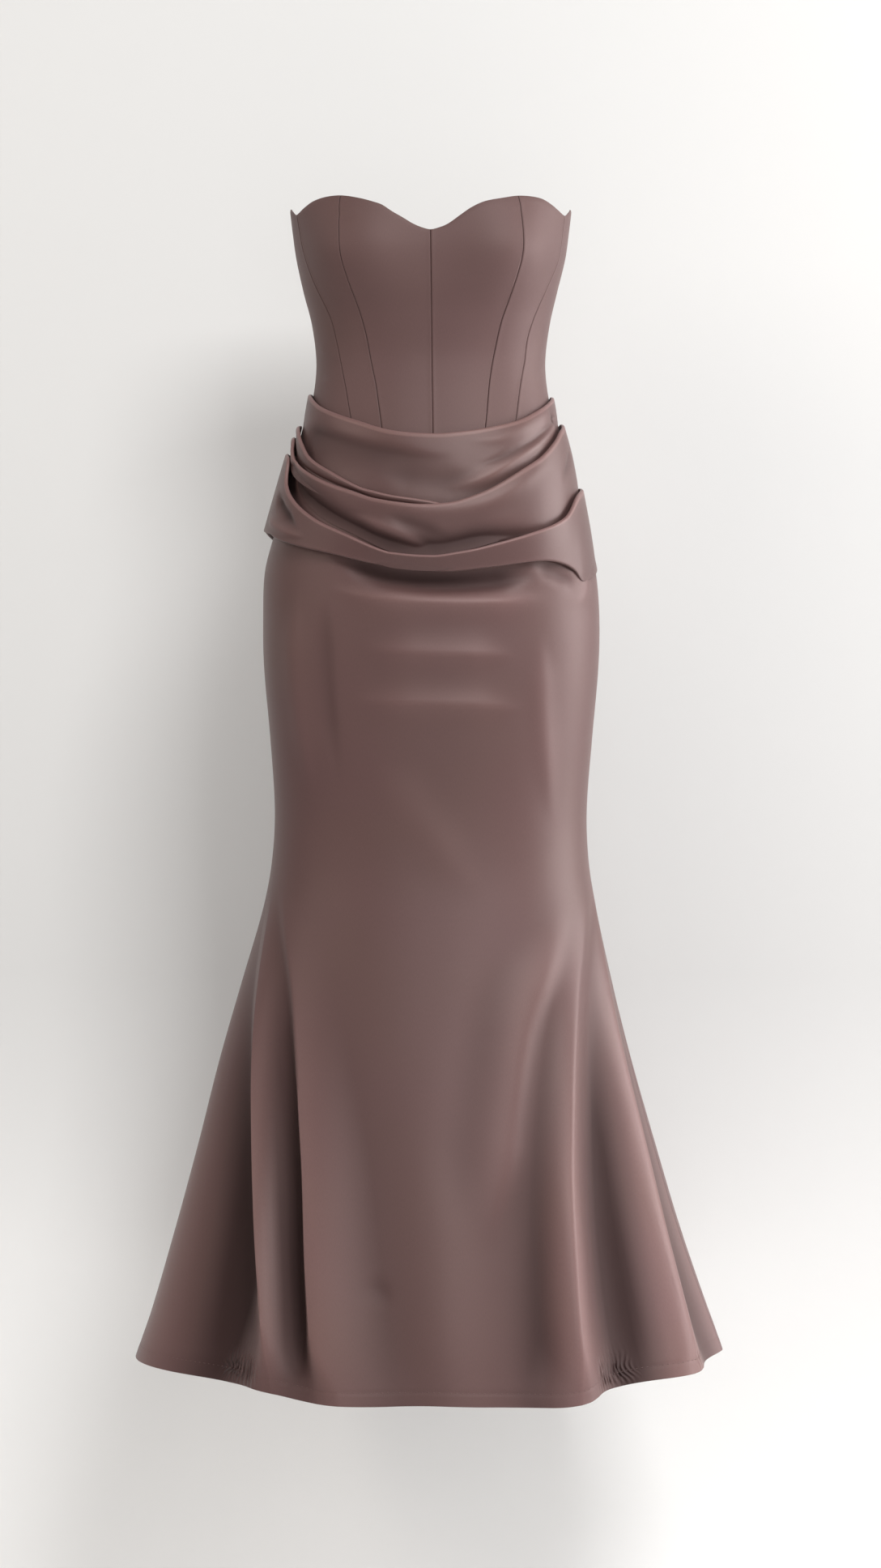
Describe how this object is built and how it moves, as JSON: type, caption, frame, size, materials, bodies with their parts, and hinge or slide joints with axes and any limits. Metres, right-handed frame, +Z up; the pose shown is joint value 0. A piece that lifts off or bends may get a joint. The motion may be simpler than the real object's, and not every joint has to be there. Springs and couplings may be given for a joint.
{
  "type": "strapless dress",
  "caption": "Floor-length strapless mermaid gown: seamed sweetheart bodice, uneven pleated hip sash, close column skirt that flares into deep folds from the knee",
  "frame": {"origin": "the middle of the natural waist, on the wearer's axis, where the gown is held when worn", "axes": "+Z up to the neckline, -Y out of the front, +X to the right of someone facing the front"},
  "size_m": [0.6524, 0.5217, 1.2963],
  "materials": {
    "bodice_satin": "mauve brown matte satin, the darkest of the three, fine ribbed weave",
    "skirt_satin": "mauve brown satin with a soft pink sheen",
    "sash_satin": "mauve brown satin, cut on the bias and pleated, with bright rolled edges",
    "zip_tape": "woven zip tape dyed to match",
    "zip_metal": "enamel dyed to match, satin gloss"
  },
  "bodies": {
    "gown": {"bodice_centre_front_left": "bodice_satin", "bodice_centre_front_right": "bodice_satin", "bodice_side_front_left": "bodice_satin", "bodice_side_front_right": "bodice_satin", "bodice_side_left": "bodice_satin", "bodice_side_right": "bodice_satin", "bodice_side_back_left": "bodice_satin", "bodice_side_back_right": "bodice_satin", "bodice_centre_back_left": "bodice_satin", "bodice_centre_back_right": "bodice_satin", "skirt_front": "skirt_satin", "skirt_back_left": "skirt_satin", "skirt_back_right": "skirt_satin", "sash_upper_front": "sash_satin", "sash_upper_back_left": "sash_satin", "sash_upper_back_right": "sash_satin", "sash_thin_front": "sash_satin", "sash_middle_front": "sash_satin", "sash_middle_back_left": "sash_satin", "sash_middle_back_right": "sash_satin", "sash_lower_front": "sash_satin", "sash_lower_back_left": "sash_satin", "sash_lower_back_right": "sash_satin", "zip_tape": "zip_tape", "zip_slider": "zip_metal"},
    "pull_tab": {"zip_pull_tab": "zip_metal"}
  },
  "joints": [
    {"name": "pull_tab_hinge", "type": "hinge", "parent": "gown", "child": "pull_tab", "pos_m": [0, 0.1014, 0.138], "axis": [1, 0, 0], "range_deg": [0, 150]}
  ]
}
